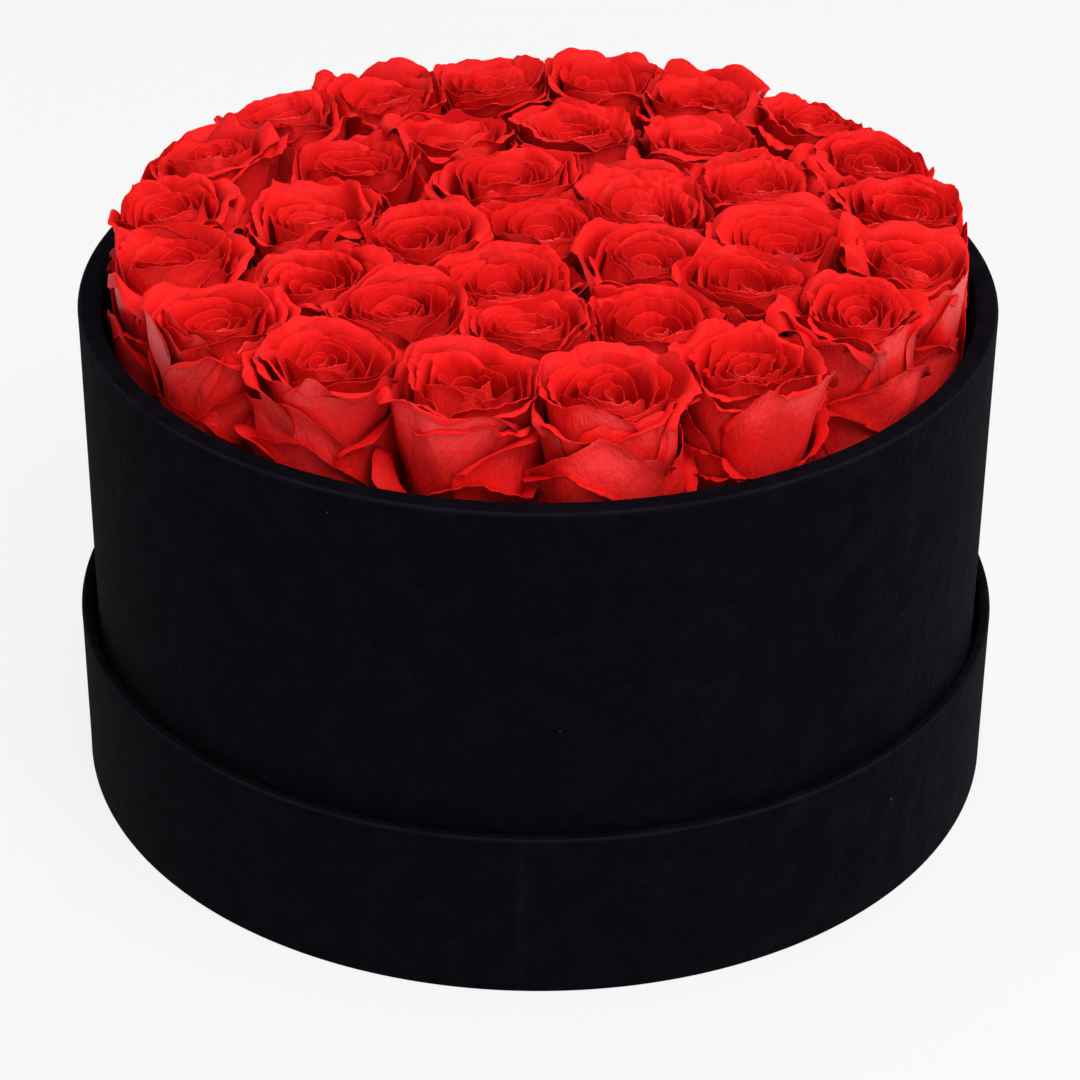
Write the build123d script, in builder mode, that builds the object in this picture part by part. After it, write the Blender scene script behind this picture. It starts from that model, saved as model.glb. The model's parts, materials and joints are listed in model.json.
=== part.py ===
"""Round suede flower box: a hat box standing in its own upturned lid, filled with an insert of roses.

Frame: millimetres, +Z up, origin on the floor under the middle of the lid. -Y is the front.
Three bodies stand in one another: the lid, the box and the insert. The lid and the box are each a
board tube closed by a board disc, covered with suede outside and lined with paper inside. The
insert is a foam disc on a board riser, holding one stem for each rose head.
"""

from build123d import *
from math import cos, degrees, dist, radians, sin
import os

# Box and lid
BOX_RADIUS = 178.0  # outside, over the suede
BOX_HEIGHT = 200.0
LID_HEIGHT = 70.0
LID_GAP = 2.5  # radial room between the box and the inside of the lid
SUEDE = 0.8
PAPER = 0.4
BOX_BOARD = 7.0
BASE_BOARD = 3.0
LID_BOARD = 2.4
SEAT_GAP = 0.1  # left between bodies that rest on each other
DISC_GAP = 0.1  # left between a disc and the ring around it
UNDER_TURN = 15.0  # width of suede folded onto the closed end
BOX_TURN_IN = 25.0  # depth of suede folded over the rim and down inside
LID_TURN_IN = 15.0
RIM_ROUND = 1.5
SEAM_WIDTH = 0.3  # where the two ends of a suede strip meet
LID_SEAM_AT = 268.5  # degrees: at the front, just left of the middle
BOX_SEAM_AT = 90.0  # at the back

# Insert
RISER_RADIUS = 150.0
RISER_BOARD = 3.0
PLATFORM_RADIUS = 167.0
PLATFORM_BOARD = 3.0
FOAM_RADIUS = 166.0
FOAM_THICKNESS = 40.0
FOAM_TOP = 41.0  # below the box rim
STEM_RADIUS = 2.4
STEM_DEPTH = 30.0  # pushed into the foam
STEM_ROOM = 0.05  # radial room of a stem in its hole
HIP_HEIGHT = 9.0
HIP_RADIUS = 6.5
HIP_NECK_RADIUS = 3.2
HEAD_BOTTOM = 31.0  # below the box rim
HEAD_TOP = 30.0  # above the box rim, before each rose's own lift
HEAD_RADIUS = 27.0
HEAD_ROOM = 0.3  # left between the heads, which are squeezed flat against each other

# The rings of roses, from the middle outwards. Each rose is (angle in degrees from +X, distance
# from the middle, how much its head is taller than HEAD_TOP says).
ROSE_RINGS = [
    [(290, 5, -2)],
    [(108, 37, 0), (199, 46, -1), (257, 51, -1), (321, 49, 0), (20, 42, 0)],
    [(81, 82, 0), (116, 79, 0), (147, 87, 1), (181, 85, 0), (209, 92, -4), (237, 91, 0),
     (268, 91, -1), (297, 94, 0), (324, 94, 1), (350, 95, 0), (19, 89, 0), (48, 93, 0)],
    [(79, 129, 1), (99, 126, 0), (119, 130, 0), (137, 132, -1), (156, 135, 0), (176, 138, 0),
     (196, 140, 0), (216, 141, 0), (236, 136, -1), (259, 132, 0), (281, 137, 1), (303, 136, 0),
     (325, 138, 1), (345, 141, 0), (5, 139, 0), (23, 140, -1), (41, 139, 0), (60, 131, 0)],
]

# Levels and radii that follow from the sizes above
LID_FLOOR = SUEDE + LID_BOARD + PAPER
BOX_BOTTOM = LID_FLOOR + SEAT_GAP
BOX_RIM = BOX_BOTTOM + BOX_HEIGHT
BOX_FLOOR = BOX_BOTTOM + SUEDE + BASE_BOARD + PAPER
LID_RADIUS = BOX_RADIUS + LID_GAP + SUEDE + LID_BOARD + SUEDE
FOAM_LEVEL = BOX_RIM - FOAM_TOP
PLATFORM_LEVEL = FOAM_LEVEL - FOAM_THICKNESS
RISER_TOP = PLATFORM_LEVEL - PLATFORM_BOARD
HEAD_LEVEL = BOX_RIM - HEAD_BOTTOM
HIP_LEVEL = HEAD_LEVEL - HIP_HEIGHT
STEM_LENGTH = HIP_LEVEL - FOAM_LEVEL + STEM_DEPTH


def export(part, name):
    """Write one sub-part as its own STEP file."""
    part.label = name
    export_step(part, f"parts/{name}.step")


def ring(name, inner, outer, bottom, top):
    """A tube between two radii, or a disc where the inner radius is 0."""
    with BuildPart() as body:
        with BuildSketch(Plane.XY.offset(bottom)):
            Circle(outer)
            if inner > 0:
                Circle(inner, mode=Mode.SUBTRACT)
        extrude(amount=top - bottom)
    export(body.part, name)


def suede_strip(name, radius, board, bottom, top, turn_in, seam_at):
    """The suede around a tube: folded onto the closed end, over the rim and down inside.

    Its two ends meet at a seam, so it goes round a hair less than the full circle.
    """
    inner = radius - SUEDE - board - SUEDE
    seam_angle = degrees(SEAM_WIDTH / radius)
    start = radians(seam_at + seam_angle / 2)
    section = Plane((0, 0, 0), x_dir=(cos(start), sin(start), 0), z_dir=(sin(start), -cos(start), 0))
    with BuildPart() as strip:
        with BuildSketch(section) as profile:
            with BuildLine():
                Polyline(
                    (radius - UNDER_TURN, bottom),
                    (radius, bottom),
                    (radius, top),
                    (inner, top),
                    (inner, top - turn_in),
                    (inner + SUEDE, top - turn_in),
                    (inner + SUEDE, top - SUEDE),
                    (radius - SUEDE, top - SUEDE),
                    (radius - SUEDE, bottom + SUEDE),
                    (radius - UNDER_TURN, bottom + SUEDE),
                    close=True,
                )
            make_face()
            fillet(profile.vertices().group_by(Axis.Y)[-1], radius=RIM_ROUND)
        revolve(axis=Axis.Z, revolution_arc=360 - seam_angle)
    export(strip.part, name)


def shell(name, disc_name, radius, board, disc_board, bottom, height, turn_in, seam_at):
    """A board tube closed by a board disc, with suede outside and a paper lining inside."""
    top = bottom + height
    board_inner = radius - SUEDE - board
    board_bottom = bottom + SUEDE
    floor = board_bottom + disc_board
    ring(f"{name}_board", board_inner, radius - SUEDE, board_bottom, top - SUEDE)
    ring(f"{disc_name}_board", 0, board_inner - DISC_GAP, board_bottom, floor)
    suede_strip(f"{name}_suede", radius, board, bottom, top, turn_in, seam_at)
    ring(f"{disc_name}_suede", 0, radius - UNDER_TURN - DISC_GAP, bottom, board_bottom)
    ring(f"{disc_name}_lining", 0, board_inner - DISC_GAP, floor, floor + PAPER)
    ring(f"{name}_lining", board_inner - PAPER, board_inner, floor + PAPER, top - turn_in)


def rose_spots():
    """Middle (x, y) and lift of every rose, from the middle of the box outwards."""
    spots = []
    for rose_ring in ROSE_RINGS:
        for angle, distance, lift in rose_ring:
            x = distance * cos(radians(angle))
            y = distance * sin(radians(angle))
            spots.append((x, y, lift))
    return spots


def rose_head(name, x, y, top, neighbours):
    """A closed cup-shaped flower head, widest above its middle and pressed flat by its neighbours."""
    height = top - HEAD_LEVEL
    with BuildPart() as head:
        with BuildSketch(Plane((x, y, HEAD_LEVEL), x_dir=(1, 0, 0), z_dir=(0, -1, 0))) as profile:
            with BuildLine():
                Polyline(
                    (0, 0),
                    (HEAD_RADIUS * 0.33, 0),
                    (HEAD_RADIUS * 0.86, height * 0.25),
                    (HEAD_RADIUS, height * 0.62),
                    (HEAD_RADIUS * 0.92, height * 0.92),
                    (HEAD_RADIUS * 0.55, height),
                    (0, height),
                    close=True,
                )
            make_face()
            corners = profile.vertices().filter_by(lambda v: v.X > HEAD_RADIUS * 0.5)
            fillet(corners, radius=12)
        revolve(axis=Axis((x, y, 0), (0, 0, 1)))
        for other_x, other_y in neighbours:
            away = Vector(other_x - x, other_y - y, 0)
            halfway = Vector(x, y, 0) + away.normalized() * (away.length / 2 - HEAD_ROOM / 2)
            split(bisect_by=Plane(halfway, z_dir=away), keep=Keep.BOTTOM)
    export(head.part, name)


os.makedirs("parts", exist_ok=True)

shell("lid_rim", "lid_top", LID_RADIUS, LID_BOARD, LID_BOARD, 0, LID_HEIGHT, LID_TURN_IN, LID_SEAM_AT)
shell("box_wall", "box_base", BOX_RADIUS, BOX_BOARD, BASE_BOARD, BOX_BOTTOM, BOX_HEIGHT,
      BOX_TURN_IN, BOX_SEAM_AT)

spots = rose_spots()
stem_tops = [(x, y, HIP_LEVEL) for x, y, lift in spots]
hole_tops = [(x, y, FOAM_LEVEL) for x, y, lift in spots]

ring("riser_tube", RISER_RADIUS - RISER_BOARD, RISER_RADIUS, BOX_FLOOR + SEAT_GAP, RISER_TOP)
ring("platform_board", 0, PLATFORM_RADIUS, RISER_TOP, PLATFORM_LEVEL)

with BuildPart() as foam_disc:
    with BuildSketch(Plane.XY.offset(PLATFORM_LEVEL)):
        Circle(FOAM_RADIUS)
    extrude(amount=FOAM_THICKNESS)
    with Locations(*hole_tops):
        Hole(radius=STEM_RADIUS + STEM_ROOM, depth=STEM_DEPTH + 0.5)
export(foam_disc.part, "foam_disc")

with BuildPart() as rose_stems:
    with Locations(*stem_tops):
        Cylinder(STEM_RADIUS, STEM_LENGTH, align=(Align.CENTER, Align.CENTER, Align.MAX))
export(rose_stems.part, "rose_stems")

with BuildPart() as rose_hips:
    with Locations(*stem_tops):
        Cone(HIP_NECK_RADIUS, HIP_RADIUS, HIP_HEIGHT, align=(Align.CENTER, Align.CENTER, Align.MIN))
export(rose_hips.part, "rose_hips")

for index, (x, y, lift) in enumerate(spots):
    others = [spot[:2] for i, spot in enumerate(spots) if i != index]
    neighbours = [spot for spot in others if dist(spot, (x, y)) < 2 * HEAD_RADIUS]
    rose_head(f"rose_{index + 1:02d}", x, y, BOX_RIM + HEAD_TOP + lift, neighbours)
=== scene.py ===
"""The looks of the round suede flower box: soft suede covers, preserved roses, lining, board, foam.

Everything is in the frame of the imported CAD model, in metres: +Z up, the floor at 0, -Y the front.
Rose shapes are worked out in millimetres and scaled once, when their mesh is made.
"""

import json
import math

import bpy
import numpy as np
from mathutils import Matrix, Vector


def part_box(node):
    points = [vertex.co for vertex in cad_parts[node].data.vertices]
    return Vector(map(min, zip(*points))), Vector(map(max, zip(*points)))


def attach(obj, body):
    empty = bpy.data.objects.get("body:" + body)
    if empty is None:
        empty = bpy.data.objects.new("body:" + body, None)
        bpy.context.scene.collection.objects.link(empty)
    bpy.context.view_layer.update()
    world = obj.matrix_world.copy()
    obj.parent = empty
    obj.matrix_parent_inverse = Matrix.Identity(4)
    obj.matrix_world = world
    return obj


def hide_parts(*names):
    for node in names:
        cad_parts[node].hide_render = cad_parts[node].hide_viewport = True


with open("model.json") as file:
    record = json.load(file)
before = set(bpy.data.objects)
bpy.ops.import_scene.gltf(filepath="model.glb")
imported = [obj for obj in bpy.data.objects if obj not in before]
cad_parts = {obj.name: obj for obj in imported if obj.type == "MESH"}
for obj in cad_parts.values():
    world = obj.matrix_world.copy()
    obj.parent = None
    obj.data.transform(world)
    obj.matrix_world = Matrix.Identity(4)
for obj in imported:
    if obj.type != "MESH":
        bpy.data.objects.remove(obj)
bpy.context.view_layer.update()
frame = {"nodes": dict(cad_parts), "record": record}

MM = 0.001

# Camera: a long lens well above the box
CAMERA_DISTANCE = 1.4397
CAMERA_ELEVATION = 33.84  # degrees, of the camera seen from the origin
CAMERA_PITCH = 30.89  # degrees below the horizon
CAMERA_YAW = 0.071
CAMERA_ROLL = 0.466
LENS = 114.34
SENSOR = 36.0

# Suede covers
SUEDE = 0.8 * MM
BOX_RIM_ROUND = 2.4 * MM
LID_RIM_ROUND = 1.95 * MM
FOOT_ROUND = 1.2 * MM
UNDER_TURN = 15.0 * MM
BOX_TURN_IN = 25.0 * MM
LID_TURN_IN = 15.0 * MM
COVER_STEPS = 240
LID_SEAM_AT = 268.5  # degrees
BOX_SEAM_AT = 90.0
SEAM_OVERLAP = 8.0 * MM
SEAM_RISE = 0.45 * MM
UNEVENNESS = 0.18 * MM

# Roses, in mm and degrees
ROSE_COUNT = 36
ROSE_SEED = 500
NEIGHBOUR_REACH = 66.0  # roses whose middles are further apart don't touch
NEIGHBOUR_GIVE = 1.6  # how far one rose of a pair pushes into the other's half
NEIGHBOUR_EASE = 4.0  # depth over which petals are pressed flat against a neighbour
WALL_EASE = 8.0  # the same against the box wall
WALL_ROOM = 0.9  # kept at least between petals and the box wall
CAD_HEAD_HEIGHT = 61.0  # the head height that the petal measures are for
LEAN_BY_RING = (1.5, 2.0, 4.0)  # outward lean of roses near the middle, further out and at the wall
RING_SPACING = 60.0
GOLDEN_ANGLE = 137.5
GUARD_PETALS = 6  # the loose lowest petals of each rose
FINE_GRID = (21, 37)  # points along and across a large petal
SMALL_GRID = (15, 25)
LARGE_PETAL = 10.0  # radius from which a petal gets the fine grid
PETAL_THICKNESS = 0.4
FACE, BACK, EDGE = 0, 1, 2  # kinds of petal faces

# Hips and sepals, in mm
HIP_SEED = 90
HIP_RADIUS = 6.3
HIP_NECK = 3.0
HIP_SIDES = 20
HIP_RINGS = 9
SEPALS = 5
SEPAL_THICKNESS = 0.5

# Studio
FLOOR_REACH = 40.0
LIGHT_AIM = (0, 0, 0.15)


def smooth(x):
    """0 below 0, 1 above 1, and a smooth step between."""
    x = np.clip(x, 0.0, 1.0)
    return x * x * (3.0 - 2.0 * x)


# ---- materials ---------------------------------------------------------------------------------
def new_material(name, roughness, specular):
    """A Principled material, its node tree and its shader node."""
    material = bpy.data.materials.new(name)
    material.use_nodes = True
    shader = material.node_tree.nodes["Principled BSDF"]
    shader.inputs["Roughness"].default_value = roughness
    shader.inputs["Specular IOR Level"].default_value = specular
    return material, material.node_tree, shader


def add_node(tree, kind, values=None, links=None, **settings):
    """A shader node with its settings, socket values and incoming links."""
    node = tree.nodes.new(kind)
    for name, value in settings.items():
        setattr(node, name, value)
    for name, value in (values or {}).items():
        node.inputs[name].default_value = value
    for name, source in (links or {}).items():
        tree.links.new(source, node.inputs[name])
    return node


def noise(tree, where, scale, detail=3.0, roughness=0.6):
    """The value of a noise texture."""
    values = {"Scale": scale, "Detail": detail, "Roughness": roughness}
    return add_node(tree, "ShaderNodeTexNoise", values, {"Vector": where}).outputs["Fac"]


def remap(tree, value, low, high, out_low=0.0, out_high=1.0):
    """value from low..high to out_low..out_high, clamped."""
    values = {"From Min": low, "From Max": high, "To Min": out_low, "To Max": out_high}
    return add_node(tree, "ShaderNodeMapRange", values, {"Value": value}).outputs["Result"]


def mix_colour(tree, factor, first, second):
    """A colour between two colours or colour sockets."""
    node = add_node(tree, "ShaderNodeMix", data_type="RGBA")
    for socket, value in (("Factor", factor), ("A", first), ("B", second)):
        matching = [s for s in node.inputs if s.name == socket and s.enabled]
        target = matching[0]
        if isinstance(value, bpy.types.NodeSocket):
            tree.links.new(value, target)
        elif socket == "Factor":
            target.default_value = value
        else:
            target.default_value = (*value, 1.0)
    return next(s for s in node.outputs if s.enabled)


def maths(tree, operation, first, second=None):
    """One Math node on sockets or numbers."""
    node = add_node(tree, "ShaderNodeMath", operation=operation)
    for index, value in enumerate((first, second)):
        if isinstance(value, bpy.types.NodeSocket):
            tree.links.new(value, node.inputs[index])
        elif value is not None:
            node.inputs[index].default_value = value
    return node.outputs[0]


def bump(tree, shader, height, distance, strength=1.0):
    """Bump the shader by height, distance metres deep."""
    values = {"Strength": strength, "Distance": distance}
    node = add_node(tree, "ShaderNodeBump", values, {"Height": height})
    tree.links.new(node.outputs["Normal"], shader.inputs["Normal"])


def suede_material(name, dark, light):
    """Near-black suede: brushed patches in its pile, a painted highlight along the outer shoulder of
    the rim, a faint pale line at the seam, and a few specks of lint.
    """
    material, tree, shader = new_material(name, 0.95, 0.02)
    where = add_node(tree, "ShaderNodeTexCoord").outputs["Object"]
    brushed = remap(tree, noise(tree, where, 75.0, 6.0, 0.68), 0.45, 0.70)
    grain = noise(tree, where, 900.0, 2.0, 0.7)
    patches, fibre_shade = maths(tree, "MULTIPLY", brushed, 0.6), maths(tree, "MULTIPLY", grain, 0.4)
    level = maths(tree, "ADD", patches, fibre_shade)
    colour = mix_colour(tree, level, dark, light)
    # Painted highlight along the outer shoulder of the rim, and a faint pale line at the seam, both
    # read from the mesh attribute and broken up by noise.
    rim_highlight_and_seam = add_node(tree, "ShaderNodeAttribute", attribute_name="rim_highlight_and_seam").outputs["Fac"]
    patchy = remap(tree, noise(tree, where, 40.0, 4.0), 0.3, 0.7, 0.35, 1.0)
    highlight_and_seam_mix = maths(tree, "MULTIPLY", rim_highlight_and_seam, patchy)
    colour = mix_colour(tree, highlight_and_seam_mix, colour, (0.007, 0.007, 0.0095))
    lint = add_node(tree, "ShaderNodeTexVoronoi", {"Scale": 110.0}, {"Vector": where})
    near = remap(tree, lint.outputs["Distance"], 0.03, 0.06, 1.0, 0.0)
    chosen = add_node(tree, "ShaderNodeSeparateColor", links={"Color": lint.outputs["Color"]})
    some = maths(tree, "GREATER_THAN", chosen.outputs["Red"], 0.935)
    specks = maths(tree, "MULTIPLY", near, some)
    colour = mix_colour(tree, specks, colour, (0.07, 0.07, 0.08))
    tree.links.new(colour, shader.inputs["Base Color"])
    shader.inputs["Sheen Weight"].default_value = 0.008
    shader.inputs["Sheen Roughness"].default_value = 0.35
    shader.inputs["Sheen Tint"].default_value = (0.72, 0.72, 0.85, 1.0)
    fibres = maths(tree, "ADD", maths(tree, "MULTIPLY", grain, 0.3), brushed)
    bump(tree, shader, fibres, 0.0007)
    return material


def petal_material(name, outer_side):
    """Preserved rose petal, finely veined, and paler and glossier on its back, that paleness partly a
    painted pinkish highlight; with painted shade towards its foot and along its edge, and painted light
    towards its lip.
    """
    roughness, specular = (0.36, 0.40) if outer_side else (0.62, 0.10)
    material, tree, shader = new_material(name, roughness, specular)
    marks = add_node(tree, "ShaderNodeAttribute", attribute_name="petal")
    parts = add_node(tree, "ShaderNodeSeparateColor", links={"Color": marks.outputs["Color"]})
    lip, tone, pale = (parts.outputs[c] for c in ("Red", "Green", "Blue"))
    along = marks.outputs["Alpha"]
    uv = add_node(tree, "ShaderNodeUVMap", uv_map="petal").outputs["UV"]
    where = add_node(tree, "ShaderNodeTexCoord").outputs["Object"]

    bend = add_node(tree, "ShaderNodeTexNoise", {"Scale": 3.0}, {"Vector": uv})
    swayed = add_node(tree, "ShaderNodeVectorMath", operation="MULTIPLY_ADD")
    tree.links.new(bend.outputs["Color"], swayed.inputs[0])
    swayed.inputs[1].default_value = (0.12, 0.12, 0.0)
    tree.links.new(uv, swayed.inputs[2])
    waving = swayed.outputs[0]
    stretch = add_node(tree, "ShaderNodeMapping", {"Scale": (55.0, 4.0, 1.0)}, {"Vector": waving})
    veins = noise(tree, stretch.outputs["Vector"], 1.0, 3.0, 0.6)
    crease = add_node(tree, "ShaderNodeMapping", {"Scale": (9.0, 5.0, 1.0)}, {"Vector": uv})
    creases = noise(tree, crease.outputs["Vector"], 1.6, 5.0, 0.65)
    blotches = noise(tree, where, 60.0, 3.0, 0.6)

    # Painted shade and light: each petal darker towards its foot, where the petals shade one another,
    # and lighter towards its lip, where the light reaches.
    foot_ends, body_starts = (0.42, 0.86) if outer_side else (0.15, 0.66)
    shaded = remap(tree, along, foot_ends, body_starts)
    colour = mix_colour(tree, shaded, (0.10, 0.001, 0.002), (0.63, 0.0060, 0.0060))
    lit_lip_colour = (0.74, 0.0080, 0.0070) if outer_side else (0.66, 0.0066, 0.0058)
    colour = mix_colour(tree, remap(tree, along, 0.70, 0.97), colour, lit_lip_colour)
    if outer_side:
        # Paler back, more so towards the top: partly the back's own paler colour, partly a painted
        # pinkish highlight.
        pale_back_and_highlight = maths(tree, "MULTIPLY", pale, remap(tree, along, 0.4, 0.95, 0.25, 0.7))
        colour = mix_colour(tree, pale_back_and_highlight, colour, (0.76, 0.040, 0.046))
        # Painted highlight: pinkish lighter lips on the backs.
        colour = mix_colour(tree, maths(tree, "MULTIPLY", lip, 0.25), colour, (0.74, 0.06, 0.06))
    else:
        # Painted shade: the faces darkened at the lip, against the light the lips catch.
        colour = mix_colour(tree, maths(tree, "MULTIPLY", lip, 0.30), colour, (0.52, 0.002, 0.003))
    # Painted shade: the very edge of every petal darkened, so that it shows no light outline.
    edge_shade = maths(tree, "MULTIPLY", maths(tree, "POWER", lip, 6.0), 0.75)
    colour = mix_colour(tree, edge_shade, colour, (0.24, 0.002, 0.004))
    deeper = remap(tree, tone, 0.0, 1.0, 0.3, 0.0)
    colour = mix_colour(tree, deeper, colour, (0.46, 0.002, 0.004))
    lines = maths(tree, "MULTIPLY", remap(tree, veins, 0.5, 0.8), 0.25)
    colour = mix_colour(tree, lines, colour, (0.45, 0.002, 0.004))
    uneven = maths(tree, "MULTIPLY", remap(tree, blotches, 0.5, 0.75), 0.18)
    colour = mix_colour(tree, uneven, colour, (0.70, 0.02, 0.02))
    tree.links.new(colour, shader.inputs["Base Color"])

    shader.inputs["Subsurface Weight"].default_value = 0.05
    shader.inputs["Subsurface Radius"].default_value = (0.004, 0.0006, 0.0005)
    shader.inputs["Subsurface Scale"].default_value = 1.0
    relief = maths(tree, "ADD", maths(tree, "MULTIPLY", veins, 0.35), creases)
    bump(tree, shader, relief, 0.0013 if outer_side else 0.0007, 0.8)
    return material


def mottled_material(name, first, second, scale, roughness, depth, fine=900.0):
    """A matte material of two mottled colours with a fine rough surface."""
    material, tree, shader = new_material(name, roughness, 0.3)
    where = add_node(tree, "ShaderNodeTexCoord").outputs["Object"]
    patches = remap(tree, noise(tree, where, scale, 4.0, 0.65), 0.38, 0.64)
    tree.links.new(mix_colour(tree, patches, first, second), shader.inputs["Base Color"])
    bump(tree, shader, noise(tree, where, fine, 3.0, 0.7), depth)
    return material


SUEDE_LOOK = suede_material("black_suede", (0.0012, 0.0009, 0.0019), (0.0036, 0.0030, 0.0053))
PETAL_LOOK = petal_material("petal_face", False)
PETAL_BACK_LOOK = petal_material("petal_back", True)
BOARD_LOOK = mottled_material(
    "grey_board", (0.24, 0.225, 0.20), (0.33, 0.31, 0.28), 160.0, 0.9, 0.0002
)
LINING_LOOK = mottled_material(
    "black_lining", (0.012, 0.012, 0.013), (0.02, 0.02, 0.021), 90.0, 0.7, 0.0001
)
# Floral foam coloured a very dark green, as painted shade for the deep gaps between the heads where it
# shows.
FOAM_LOOK = mottled_material(
    "floral_foam", (0.008, 0.03, 0.015), (0.014, 0.05, 0.024), 300.0, 0.95, 0.0006, fine=1400.0
)
STEM_LOOK = mottled_material("rose_stem", (0.07, 0.10, 0.025), (0.14, 0.17, 0.05), 120.0, 0.7, 0.0002)
SEPAL_LOOK = mottled_material("rose_sepal", (0.05, 0.10, 0.02), (0.09, 0.16, 0.04), 150.0, 0.65, 0.0002)


# ---- meshes ------------------------------------------------------------------------------------
def mesh_object(name, vertices, faces, material):
    """A new smooth-shaded object from vertices in metres and faces."""
    mesh = bpy.data.meshes.new(name)
    mesh.from_pydata([tuple(v) for v in vertices], [], [tuple(f) for f in faces])
    mesh.polygons.foreach_set("use_smooth", [True] * len(mesh.polygons))
    mesh.materials.append(material)
    mesh.update()
    piece = bpy.data.objects.new(name, mesh)
    bpy.context.scene.collection.objects.link(piece)
    return piece


def corner(centre_r, centre_z, radius, first, last, steps=7):
    """Points of a rounded corner, angles in degrees in the (r, z) plane."""
    angles = np.radians(np.linspace(first, last, steps))
    return [(centre_r + radius * math.cos(a), centre_z + radius * math.sin(a)) for a in angles]


def half_size(node):
    """Half the width of a CAD node along X."""
    low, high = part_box(node)
    return (high[0] - low[0]) / 2


def suede_cover(name, node, lining, rim_round, turn_in, seam_at):
    """The suede of one tube: folded under it, over its rounded rim and down inside, with its seam."""
    low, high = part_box(node)
    bottom, top = low[2], high[2]
    outer = half_size(node)
    inner = half_size(lining) - SUEDE
    outside = [(outer - UNDER_TURN, bottom)]
    outside += corner(outer - FOOT_ROUND, bottom + FOOT_ROUND, FOOT_ROUND, -90, 0)
    outside += [(outer, z) for z in np.linspace(bottom + 0.01, top - 0.01, 16)]
    outside += corner(outer - rim_round, top - rim_round, rim_round, 0, 90, 13)
    outside += corner(inner + rim_round, top - rim_round, rim_round, 90, 180, 9)
    outside += [(inner, top - turn_in)]
    inside = [
        (inner + SUEDE, top - turn_in),
        (inner + SUEDE, top - SUEDE),
        (outer - SUEDE, top - SUEDE),
        (outer - SUEDE, bottom + SUEDE),
        (outer - UNDER_TURN, bottom + SUEDE),
    ]
    profile = np.array(outside + inside)
    moved = np.zeros(len(profile))
    moved[: len(outside)] = 1.0
    # Painted highlight: a thin lighter line along the outer shoulder of the rim, where its rounding
    # catches the light.
    shoulder_highlight = np.exp(-(((profile[:, 0] - outer + 0.22 * rim_round) / (0.16 * rim_round)) ** 2))
    shoulder_highlight = np.where(profile[:, 1] > top - 0.9 * rim_round, shoulder_highlight, 0.0) * moved

    seam = math.radians(seam_at)
    near_seam = seam + np.array([-12, -9, -8.2, -8, -7.8, -7, -3, -0.15, 0.15, 3, 6]) * MM / outer
    angles = np.concatenate([np.linspace(0, 2 * math.pi, COVER_STEPS, endpoint=False), near_seam])
    angles = np.unique(np.round(np.mod(angles, 2 * math.pi), 7))
    past = ((angles - seam + math.pi) % (2 * math.pi) - math.pi) * outer
    lap = smooth((past + SEAM_OVERLAP + 0.5 * MM) / (1.0 * MM)) * (past < 0) * SEAM_RISE
    wave = np.sin(3 * angles + 1.0) + 0.6 * np.sin(7 * angles + 2.0) + 0.35 * np.sin(13 * angles)
    at_seam = np.abs(past) < 0.3 * MM
    vertices, rim_highlight_and_seam = [], []
    for angle, extra, sway, stitched in zip(angles, lap, wave, at_seam):
        # The painted rim highlight, and a faint pale line along the seam.
        rim_highlight_and_seam += list(np.maximum(shoulder_highlight, 0.2 * moved * stitched))
        for (radius, z), amount in zip(profile, moved):
            upright = 1.0 if radius > outer - 2 * MM and bottom + 0.01 <= z <= top - 0.004 else 0.0
            r = radius + (extra - abs(sway) * 0.4 * UNEVENNESS) * upright * amount
            vertices.append((r * math.cos(angle), r * math.sin(angle), z))
    rows, columns = len(angles), len(profile)
    faces = []
    for i in range(rows):
        for j in range(columns):
            a, b = i * columns + j, i * columns + (j + 1) % columns
            c, d = ((i + 1) % rows) * columns + (j + 1) % columns, ((i + 1) % rows) * columns + j
            faces.append((a, d, c, b))
    cover = mesh_object(name, vertices, faces, SUEDE_LOOK)
    cover.data.attributes.new("rim_highlight_and_seam", "FLOAT", "POINT").data.foreach_set("value", rim_highlight_and_seam)
    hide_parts(node)
    return cover


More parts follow.
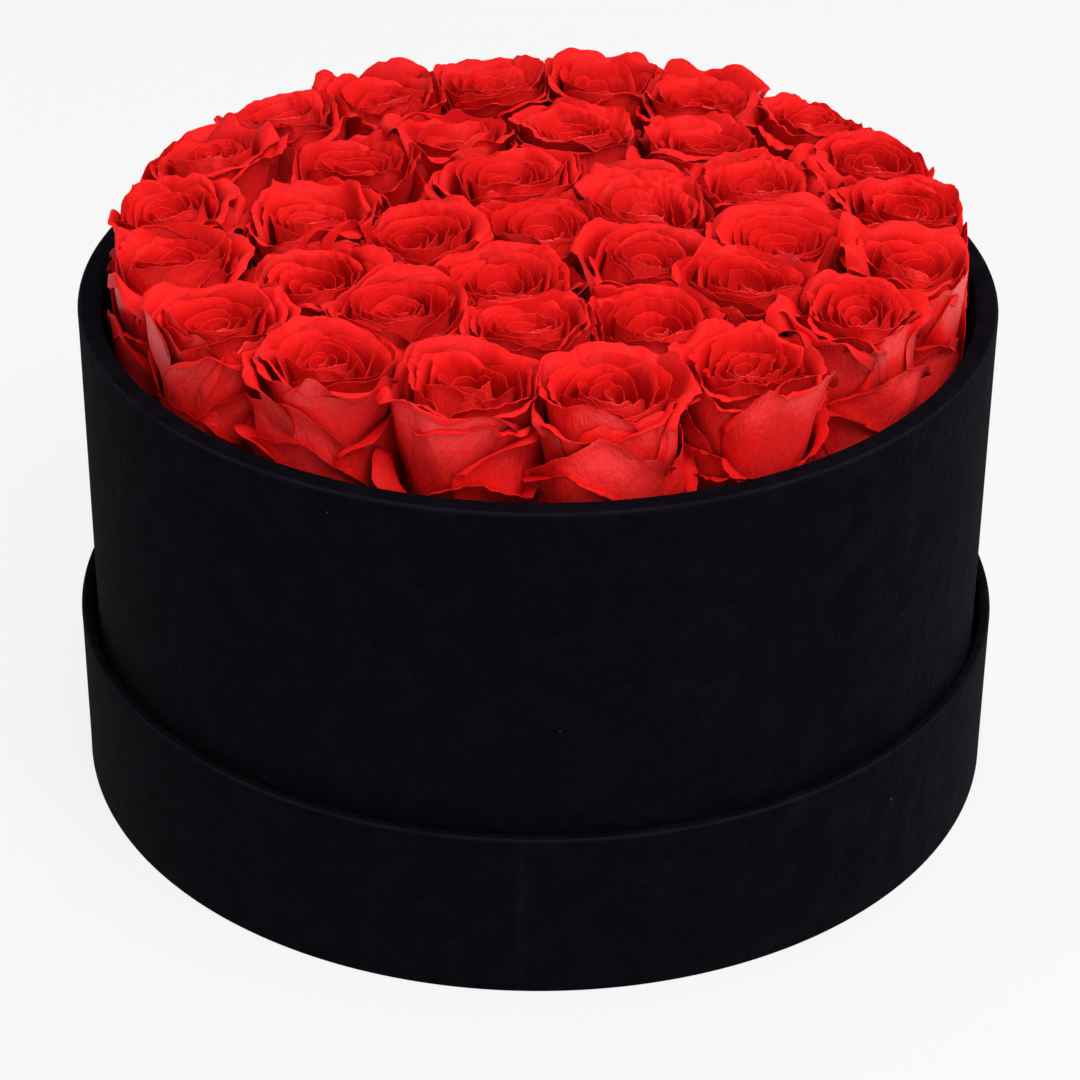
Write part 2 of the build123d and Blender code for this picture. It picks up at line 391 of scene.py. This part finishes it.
# ---- roses -------------------------------------------------------------------------------------
def petal_surface(rows, columns, p, rng):
    """Middle surface of one petal in mm, as a (rows, columns, 3) array, and three maps of it.

    The maps are the place along the petal, the nearness to its lip, and the place across it in mm.

    The petal grows from the flower's foot out and up as a cup, and rolls outwards at its lip.
    """
    s = np.linspace(-1, 1, columns)[None, :]
    v = 1 - (1 - np.linspace(0, 1, rows)[:, None]) ** 1.8
    crown = 1 - p["crown"] * np.abs(s) ** p["blunt"] + p["point"] * np.exp(-((s / 0.16) ** 2))
    nicks = np.zeros_like(s)
    for place, depth, breadth in p["nicks"]:
        nicks = nicks + depth * np.exp(-(((s - place) / breadth) ** 2))
    path = v * (crown - nicks * smooth((v - 0.5) / 0.5))
    foot, upright = math.radians(p["foot_angle"]), math.radians(p["upright"])
    cup = foot + (upright - foot) * smooth(path / p["cup_by"])
    cup = cup + math.radians(p["closing"]) * smooth((path - 0.4) / 0.35)
    roll_share = 1 + p["roll_uneven"] * np.cos(2 * math.pi * s + p["roll_phase"])
    rolled = smooth((v - p["roll_from"]) / (1 - p["roll_from"])) ** 1.2
    roll = math.radians(p["roll"]) * roll_share * rolled
    angle = cup - roll
    step = np.diff(path, axis=0)
    middle = (angle[1:] + angle[:-1]) / 2
    zero = np.zeros((1, columns))
    out = np.concatenate([zero, np.cumsum(np.cos(middle) * step, axis=0)])
    up = np.concatenate([zero, np.cumsum(np.sin(middle) * step, axis=0)])
    mid = columns // 2
    belly = np.interp(0.6, path[:, mid], out[:, mid])
    radius = p["foot"] + out * (p["body"] - p["foot"]) / max(belly, 0.02)
    z = up * p["height"] / up[:, mid].max()

    width = p["width"] * (0.3 + 0.7 * smooth(path / 0.5))
    reference = np.maximum(np.where(path > 0.5, p["body"] + 0.45 * (radius - p["body"]), radius), 1.2)
    half_angle = np.minimum(width / reference, 2.7)
    lip = smooth((v - 0.62) / 0.38)
    edge = smooth((v - 0.84) / 0.16)
    radius = radius + p["tuck"] * s * smooth(path / 0.4)
    radius = radius + p["side_out"] * np.abs(s) ** 4 * smooth(path / 0.6)
    weights = {"lip": lip, "edge": edge, "all": smooth(path / 0.5)}
    for size, waves, where in p["waves"]:
        phase = rng.uniform(0, 2 * math.pi)
        amount = size * weights[where]
        radius = radius + amount * np.sin(2 * math.pi * waves * s + phase)
        z = z + 0.6 * amount * np.sin(2 * math.pi * waves * s + phase + 1.7)
    for place, depth, breadth in p["folds"]:
        radius = radius + depth * lip * np.exp(-(((s - place) / breadth) ** 2))
    turn = math.radians(p["turn"]) + s * half_angle + math.radians(p["twist"]) * path
    radius = radius * (1 + p["oval"] * np.cos(2 * (turn - p["oval_at"])) * smooth(radius / 10))
    surface = np.stack([radius * np.cos(turn), radius * np.sin(turn), z + p["foot_z"]], axis=-1)
    sides = smooth((np.abs(s) - 0.8) / 0.2) * smooth(path / 0.5)
    near_lip = np.maximum(smooth((v - 0.86) / 0.14), sides)
    across = np.broadcast_to(s * p["width"], path.shape)
    return surface, path, near_lip, across


def thick_petal(surface, path, near_lip, across, thickness, tone=0.0, pale=0.0):
    """Vertices, faces, the kind of each face, marks and UV of a petal with two sides and an edge.

    The marks are what the petal materials read: nearness to the lip, tone, paleness, place along.
    """
    rows, columns = path.shape
    along_rows = np.gradient(surface, axis=0)
    along_columns = np.gradient(surface, axis=1)
    normal = np.cross(along_columns, along_rows)
    normal /= np.maximum(np.linalg.norm(normal, axis=-1, keepdims=True), 1e-9)
    half = (thickness / 2 * (1 - 0.7 * near_lip))[..., None]
    sides = [surface + normal * half, surface - normal * half]
    vertices = np.concatenate([side.reshape(-1, 3) for side in sides])
    index = np.arange(rows * columns).reshape(rows, columns)
    a, b, c, d = index[:-1, :-1], index[:-1, 1:], index[1:, 1:], index[1:, :-1]
    front = np.stack([a, b, c, d], -1).reshape(-1, 4)
    other = rows * columns
    back = np.stack([d, c, b, a], -1).reshape(-1, 4) + other
    border = np.concatenate([index[0, :], index[1:, -1], index[-1, -2::-1], index[-2:0:-1, 0]])
    following = np.roll(border, -1)
    rim = np.stack([following, border, border + other, following + other], -1)
    faces = np.concatenate([front, back, rim])
    marks = [near_lip, np.full_like(path, tone), np.full_like(path, pale), path]
    marks = np.stack(marks, -1).reshape(-1, 4)
    marks = np.concatenate([marks, marks])
    kinds = np.repeat([BACK, FACE, EDGE], [len(front), len(back), len(rim)])
    uv = np.stack([across / 50 + 0.5, path], -1).reshape(-1, 2)
    return vertices, faces, kinds, marks, np.concatenate([uv, uv])


def rose_petals(rng, frilly, openness):
    """The measures of every petal of one rose, from its heart outwards."""
    count = int(rng.integers(18, 28))
    spread = rng.uniform(0.5, 0.85)
    sunk = rng.uniform(7.0, 11.5)
    size = rng.uniform(0.95, 1.07)
    start = rng.uniform(0, 360)
    oval, oval_at = rng.uniform(0, 0.06), rng.uniform(0, math.pi)
    petals = []
    for i in range(count + GUARD_PETALS):
        t = min(i / (count - 1), 1.0)
        body = (2.6 + 20.9 * t**spread) * size
        ear = t > 0.6 and rng.random() < 0.08
        ragged = t > 0.7 and rng.random() < 0.35
        roll = 14 + 88 * t**1.6 * openness + rng.normal(0, 5 + 14 * t) + 45 * ear
        rise = sunk * (smooth(body / 20.5) - 1) - 1.4 * smooth((t - 0.7) / 0.3)
        waves = [
            (rng.uniform(0.2, 1.0) * (0.2 + t), rng.uniform(0.6, 1.2), "lip"),
            (rng.uniform(0.05, 0.3) * (0.2 + t), rng.uniform(1.6, 2.6), "lip"),
            (rng.uniform(0.15, 0.6) * (0.2 + t), rng.uniform(0.5, 1.1), "all"),
            (rng.uniform(0.05, 0.2) * (0.4 + t) * (1 + 5 * frilly), rng.uniform(3, 5), "edge"),
            (rng.uniform(0.02, 0.12) * (0.4 + t) * (1 + 5 * frilly), rng.uniform(5, 8), "edge"),
        ]
        folds = [
            (
                rng.uniform(-0.8, 0.8),
                rng.uniform(-1.3, 1.3) * (0.15 + 0.85 * t),
                rng.uniform(0.06, 0.15),
            )
            for _ in range(int(rng.integers(0, 4)))
        ]
        nicks = [
            (
                rng.uniform(-0.9, 0.9),
                rng.uniform(-0.02, 0.035) * smooth(2 * t - 0.6),
                rng.uniform(0.05, 0.14),
            )
            for _ in range(int(rng.integers(1, 5)))
        ]
        petals.append(
            {
                "turn": start + i * GOLDEN_ANGLE + rng.normal(0, 16),
                "twist": rng.normal(8, 5) * (1 - 0.6 * t),
                "foot": 2.0 + 5.0 * t,
                "foot_z": 4.0 - 3.5 * t,
                "body": body,
                "height": 59.5 + rise + rng.normal(0, 1.1),
                "foot_angle": 26 - 22 * t,
                "cup_by": 0.45 - 0.08 * t,
                "upright": 92 - 12 * t,
                "closing": 8 * (1 - t) - 8 * t,
                "roll": max(roll, 0),
                "roll_from": 0.93 - 0.09 * t + rng.normal(0, 0.02) - 0.14 * ear,
                "roll_uneven": rng.uniform(0.0, 0.55) * t,
                "roll_phase": rng.choice([0.0, math.pi, rng.uniform(0, 6.28)]),
                "crown": rng.uniform(0.08, 0.19) - 0.05 * t + 0.1 * ragged,
                "blunt": rng.uniform(3.4, 6.0) - 1.5 * ragged,
                "point": rng.uniform(-0.015, 0.02) + rng.uniform(0.02, 0.06) * ragged,
                "width": 8.0 + 18.5 * t**0.75 + rng.normal(0, 1.2),
                "tuck": rng.uniform(0.2, 0.8) * (1 if rng.random() < 0.8 else -1),
                "side_out": 2.0 * t * rng.uniform(0, 1),
                "waves": waves,
                "folds": folds,
                "nicks": nicks,
                "oval": oval,
                "oval_at": oval_at,
                "tone": rng.random(),
                "pale": rng.uniform(0.1, 0.6),
                "spill": rng.normal(0, 1.2) * t,
                "wall_room": WALL_ROOM + rng.uniform(1, 8),
            }
        )
        if i >= count:
            petals[-1].update(
                height=rng.uniform(28, 53),
                body=body + rng.uniform(0.6, 3.5),
                upright=90,
                closing=0,
                roll=rng.uniform(5, 80),
                roll_from=0.8,
                crown=rng.uniform(0.2, 0.38),
                blunt=rng.uniform(1.7, 2.6),
                point=rng.uniform(0.0, 0.06),
                pale=rng.uniform(0.5, 1.0),
                spill=rng.uniform(0.0, 4.0),
                wall_room=WALL_ROOM + rng.uniform(0, 4),
            )
    return petals


def soft_limit(distance, limit, room):
    """distance, eased so that it never passes limit."""
    over = distance - (limit - room)
    return np.where(over > 0, limit - room + room * np.tanh(np.maximum(over, 0) / room), distance)


def rose_axis(node):
    """Where a rose stands and how high its head starts and ends, in mm, from its CAD solid."""
    mesh = frame["nodes"][node].data
    points = np.empty(len(mesh.vertices) * 3)
    mesh.vertices.foreach_get("co", points)
    points = points.reshape(-1, 3) / MM
    low = points[:, 2].min()
    foot = points[points[:, 2] < low + 0.02]
    x, y = (foot.min(axis=0) + foot.max(axis=0))[:2] / 2
    return np.array([x, y]), low, points[:, 2].max()


def swayed(points, sways):
    """The rose's points moved by a few long waves, so that no layer of petals stays round."""
    points = points.copy()
    for wave, phase, move in sways:
        amount = np.sin(points @ wave + phase) * smooth(points[:, 2] / 45)
        points = points + amount[:, None] * move
    return points


def random_sways(rng):
    """Three waves through a rose: how each varies in space, its phase, and where it moves petals."""
    sways = []
    for length in (40.0, 27.0, 17.0):
        aim, push = rng.normal(0, 1, 3), rng.normal(0, 1, 3) * [1, 1, 0.5]
        wave = aim / np.linalg.norm(aim) * 2 * math.pi / length
        sways.append((wave, rng.uniform(0, 6.28), push / np.linalg.norm(push) * length * 0.045))
    return sways


def squeezed(points, here, index, spots, wall, spill):
    """The rose's points pressed in between its neighbours, spill mm past the middle, and the wall."""
    points = points.copy()
    for other, spot in enumerate(spots):
        away = spot - here
        gap = np.linalg.norm(away)
        if other == index or gap > NEIGHBOUR_REACH:
            continue
        away = away / gap
        give = NEIGHBOUR_GIVE if (index + other) % 2 == 0 else 0.0
        give = give if index > other else -give
        along = (points[:, :2] - here) @ away
        limit = gap / 2 + give + 0.4 + spill
        points[:, :2] += (soft_limit(along, limit, NEIGHBOUR_EASE) - along)[:, None] * away
    radius = np.linalg.norm(points[:, :2], axis=1)
    eased = soft_limit(radius, wall, WALL_EASE)
    points[:, :2] *= (eased / np.maximum(radius, 1e-6))[:, None]
    return points


def make_rose(index, spots, low, high, wall):
    """One rose of 24 to 33 petals, standing where its CAD solid stands."""
    rng = np.random.default_rng(ROSE_SEED + index)
    here = spots[index]
    distance = np.linalg.norm(here)
    frilly = min(max(0.0, rng.normal(0.16, 0.2)), 0.5)
    openness = rng.uniform(0.75, 1.15)
    tall = (high - low) / CAD_HEAD_HEIGHT
    lean = np.radians(LEAN_BY_RING[min(int(distance // RING_SPACING), 2)])
    outward = here / max(distance, 1.0)
    wobble = rng.normal(0, math.radians(2.0), 2)
    slope = outward * lean + wobble
    sways = random_sways(rng)
    vertices, faces, kinds, marks, uvs, start = [], [], [], [], [], 0
    for petal in rose_petals(rng, frilly, openness):
        rows, columns = FINE_GRID if petal["body"] > LARGE_PETAL else SMALL_GRID
        surface, path, near_lip, across = petal_surface(rows, columns, petal, rng)
        surface = surface * [1, 1, tall]
        surface = surface + [slope[0], slope[1], 0] * surface[..., 2:3]
        surface[..., 2] -= surface[..., 0] * slope[0] + surface[..., 1] * slope[1]
        flat = swayed(surface.reshape(-1, 3), sways) + [here[0], here[1], low + 0.5]
        flat = squeezed(flat, here, index, spots, wall - petal["wall_room"], petal["spill"])
        flat = flat.reshape(surface.shape)
        tone, pale = petal["tone"], petal["pale"]
        v, f, kind, m, uv = thick_petal(flat, path, near_lip, across, PETAL_THICKNESS, tone, pale)
        vertices.append(v)
        faces.append(f + start)
        kinds.append(kind)
        marks.append(m)
        uvs.append(uv)
        start += len(v)
    name = f"rose_head_{index + 1:02d}"
    mesh = bpy.data.meshes.new(name)
    vertices, faces = np.concatenate(vertices) * MM, np.concatenate(faces)
    mesh.vertices.add(len(vertices))
    mesh.vertices.foreach_set("co", vertices.ravel())
    mesh.loops.add(faces.size)
    mesh.loops.foreach_set("vertex_index", faces.ravel())
    mesh.polygons.add(len(faces))
    mesh.polygons.foreach_set("loop_start", np.arange(len(faces)) * 4)
    kinds = np.concatenate(kinds)
    mesh.polygons.foreach_set("use_smooth", kinds != EDGE)
    mesh.polygons.foreach_set("material_index", (kinds == BACK).astype(np.int32))
    mesh.update()
    layer = mesh.uv_layers.new(name="petal")
    layer.data.foreach_set("uv", np.concatenate(uvs)[faces.ravel()].ravel())
    colour = mesh.color_attributes.new("petal", "FLOAT_COLOR", "POINT")
    colour.data.foreach_set("color", np.concatenate(marks).ravel())
    mesh.materials.append(PETAL_LOOK)
    mesh.materials.append(PETAL_BACK_LOOK)
    rose = bpy.data.objects.new(name, mesh)
    bpy.context.scene.collection.objects.link(rose)
    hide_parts(f"rose_{index + 1:02d}")
    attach(rose, "insert")


def make_hips(spots, tops, bottom):
    """The green hip under every rose, with five sepals spread below the petals."""
    rng = np.random.default_rng(HIP_SEED)
    vertices, faces, start = [], [], 0
    angles = np.linspace(0, 2 * math.pi, HIP_SIDES, endpoint=False)
    low_middle = HIP_SIDES * HIP_RINGS  # index of the point that closes the hip below
    along, across = np.linspace(0, 1, 9)[:, None], np.linspace(-1, 1, 7)[None, :]
    for spot, top in zip(spots, tops):
        share = np.linspace(0, 1, HIP_RINGS)
        z = bottom + (top - bottom) * share
        radius = HIP_NECK + (HIP_RADIUS - HIP_NECK) * np.sin(share * math.pi * 0.62) ** 1.3
        ring = np.stack([np.cos(angles), np.sin(angles)], -1)
        bulb = [np.column_stack([ring * r + spot, np.full(HIP_SIDES, h)]) for r, h in zip(radius, z)]
        bulb += [[(*spot, z[0])], [(*spot, z[-1])]]
        vertices.append(np.concatenate(bulb))
        last_ring = low_middle - HIP_SIDES
        for i in range(HIP_SIDES):
            after = (i + 1) % HIP_SIDES
            for ring_start in range(start, start + last_ring, HIP_SIDES):
                faces.append([ring_start + k for k in (i, after, after + HIP_SIDES, i + HIP_SIDES)])
            faces.append([start + low_middle, start + after, start + i])
            faces.append([start + low_middle + 1, start + last_ring + i, start + last_ring + after])
        start += low_middle + 2
        first = rng.uniform(0, 2 * math.pi)
        for leaf in range(SEPALS):
            turn = first + leaf * 2 * math.pi / SEPALS + rng.normal(0, 0.12)
            long, droop = rng.uniform(13, 18), rng.uniform(0.3, 0.9)
            out = HIP_RADIUS * 0.75 + long * along * (1 - 0.12 * along)
            down = top - 0.6 - droop * 6.0 * along**1.6 + 0.9 * across**2 * np.sin(math.pi * along)
            half = 3.1 * np.sin(math.pi * (0.12 + 0.88 * along) ** 0.75) ** 0.8 * across + 0.1 * across
            x = out * math.cos(turn) - half * math.sin(turn) + spot[0]
            y = out * math.sin(turn) + half * math.cos(turn) + spot[1]
            surface = np.stack([x, y, np.maximum(down, bottom + 0.5) + 0 * x], -1)
            v, f, _, _, _ = thick_petal(surface, along + 0 * x, 0 * x, 0 * x, SEPAL_THICKNESS)
            vertices.append(v)
            faces += (f + start).tolist()
            start += len(v)
    hips = mesh_object("rose_hips_and_sepals", np.concatenate(vertices) * MM, faces, SEPAL_LOOK)
    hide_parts("rose_hips")
    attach(hips, "insert")


# ---- camera, light and floor -------------------------------------------------------------------
camera_data = bpy.data.cameras.new("camera")
camera_data.lens = LENS
camera_data.sensor_width = SENSOR
camera = bpy.data.objects.new("camera", camera_data)
bpy.context.scene.collection.objects.link(camera)
height_angle = math.radians(CAMERA_ELEVATION)
back, up = math.cos(height_angle), math.sin(height_angle)
camera.location = (0, -CAMERA_DISTANCE * back, CAMERA_DISTANCE * up)
camera.rotation_mode = "XYZ"
pitch, yaw = math.radians(CAMERA_PITCH), math.radians(CAMERA_YAW)
forward = Vector((math.sin(yaw) * math.cos(pitch), math.cos(yaw) * math.cos(pitch), -math.sin(pitch)))
turned = forward.to_track_quat("-Z", "Y").to_matrix().to_4x4()
camera.rotation_euler = (turned @ Matrix.Rotation(math.radians(CAMERA_ROLL), 4, "Z")).to_euler()
bpy.context.scene.camera = camera
bpy.context.scene.view_settings.view_transform = "Standard"


def area_light(name, place, size, power):
    """A square soft white light aimed at the box."""
    data = bpy.data.lights.new(name, "AREA")
    data.shape = "SQUARE"
    data.size = size
    data.energy = power
    light = bpy.data.objects.new(name, data)
    bpy.context.scene.collection.objects.link(light)
    light.location = place
    aim = Vector(LIGHT_AIM) - Vector(place)
    light.rotation_euler = aim.to_track_quat("-Z", "Y").to_euler()


area_light("key", (0.65, -1.45, 2.5), 1.5, 82)
area_light("left_fill", (-1.5, -0.2, 0.9), 1.0, 1.4)
area_light("right_fill", (1.45, -0.45, 0.9), 0.5, 4.5)
area_light("front_fill", (0.3, -1.5, 0.6), 0.8, 5)
area_light("top", (0.1, 0.5, 2.4), 1.2, 16)

world = bpy.data.worlds.new("studio")
world.use_nodes = True
world.node_tree.nodes["Background"].inputs["Color"].default_value = (1, 1, 1, 1)
world.node_tree.nodes["Background"].inputs["Strength"].default_value = 0.42
bpy.context.scene.world = world

floor_material, _, floor_shader = new_material("pale_floor", 0.9, 0.2)
floor_shader.inputs["Base Color"].default_value = (0.07, 0.07, 0.07, 1)
floor_shader.inputs["Emission Color"].default_value = (1, 1, 1, 1)
floor_shader.inputs["Emission Strength"].default_value = 0.828
corners = [(x * FLOOR_REACH, y * FLOOR_REACH, 0) for x, y in ((-1, -1), (1, -1), (1, 1), (-1, 1))]
floor = mesh_object("studio_floor", corners, [(0, 1, 2, 3)], floor_material)

# ---- the object --------------------------------------------------------------------------------
LOOKS = {
    "suede": SUEDE_LOOK,
    "board": BOARD_LOOK,
    "lining": LINING_LOOK,
    "foam": FOAM_LOOK,
    "stem": STEM_LOOK,
    "hip": SEPAL_LOOK,
    "petal": PETAL_LOOK,
}
for part in frame["record"]["subparts"]:
    node = frame["nodes"][part["node"]]
    node.data.materials.clear()
    node.data.materials.append(LOOKS[part["material_slot"]])

lid_cover = suede_cover(
    "lid_suede_cover", "lid_rim_suede", "lid_rim_lining", LID_RIM_ROUND, LID_TURN_IN, LID_SEAM_AT
)
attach(lid_cover, "lid")
box_cover = suede_cover(
    "box_suede_cover", "box_wall_suede", "box_wall_lining", BOX_RIM_ROUND, BOX_TURN_IN, BOX_SEAM_AT
)
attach(box_cover, "box")

inner_wall = (half_size("box_wall_lining") - SUEDE) / MM
roses = [rose_axis(f"rose_{i + 1:02d}") for i in range(ROSE_COUNT)]
spots = [rose[0] for rose in roses]
for i, (spot, low, high) in enumerate(roses):
    make_rose(i, spots, low, high, inner_wall)
make_hips(spots, [rose[1] for rose in roses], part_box("rose_hips")[0][2] / MM)
